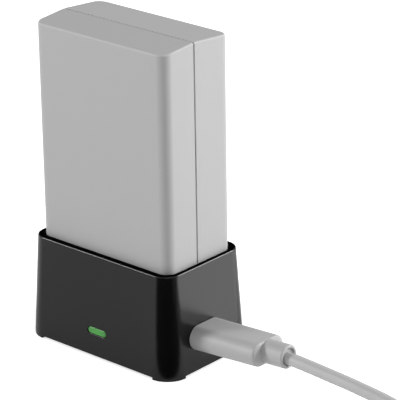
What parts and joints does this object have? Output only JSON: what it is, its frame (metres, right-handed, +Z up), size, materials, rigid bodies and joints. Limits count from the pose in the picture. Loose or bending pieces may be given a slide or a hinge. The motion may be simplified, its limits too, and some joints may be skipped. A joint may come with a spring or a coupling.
{
  "type": "flash battery charger",
  "caption": "Small black charging dock with a flat battery pack upright in its well, a lit status window in front and a plugged-in USB lead at the right side.",
  "frame": {"origin": "on the table, under the middle of the dock", "axes": "+X towards the side with the USB socket, -Y towards the front with the status window, +Z up"},
  "size_m": [0.1749, 0.0441, 0.078],
  "materials": {
    "dock_black": "satin moulded plastic",
    "base_black": "fine texture",
    "screw_steel": "zinc plated",
    "board_green": "solder mask",
    "insulator_black": "moulded",
    "contact_gold": "gold plated",
    "chip_black": "moulded",
    "ferrite_grey": "ferrite",
    "ceramic_tan": "ceramic",
    "lamp_white": "moulded",
    "window_green": "clear lens lit green from behind",
    "solder": "reflowed solder",
    "plug_steel": "nickel plated",
    "pack_grey": "smooth matte",
    "lead_grey": "smooth moulded",
    "cable_grey": "smooth jacket",
    "insulator_white": "moulded"
  },
  "bodies": {
    "root": {"housing": "dock_black", "base_plate": "base_black", "base_screws": "screw_steel", "main_board": "board_green", "board_screws": "screw_steel", "contact_block": "insulator_black", "contact_blade_1": "contact_gold", "contact_blade_2": "contact_gold", "contact_blade_3": "contact_gold", "contact_blade_4": "contact_gold", "charge_controller": "chip_black", "power_inductor": "ferrite_grey", "power_transistor": "chip_black", "capacitor_1": "ceramic_tan", "capacitor_2": "ceramic_tan", "capacitor_3": "ceramic_tan", "capacitor_4": "ceramic_tan", "resistor_1": "chip_black", "resistor_2": "chip_black", "resistor_3": "chip_black", "resistor_4": "chip_black", "status_lamp": "lamp_white", "light_pipe": "window_green", "port_board": "board_green", "port_solder": "solder", "socket_shell": "plug_steel", "socket_tongue": "insulator_black", "battery_pack": "pack_grey", "pack_terminal_1": "contact_gold", "pack_terminal_2": "contact_gold", "pack_terminal_3": "contact_gold", "pack_terminal_4": "contact_gold", "plug_grip": "lead_grey", "plug_collar": "lead_grey", "plug_shell": "plug_steel", "plug_insert": "insulator_black", "cable_run": "cable_grey", "cable_coil": "cable_grey", "cable_tail": "cable_grey", "far_collar": "lead_grey", "far_grip": "lead_grey", "far_shell": "plug_steel", "far_insert": "insulator_white"}
  },
  "joints": []
}
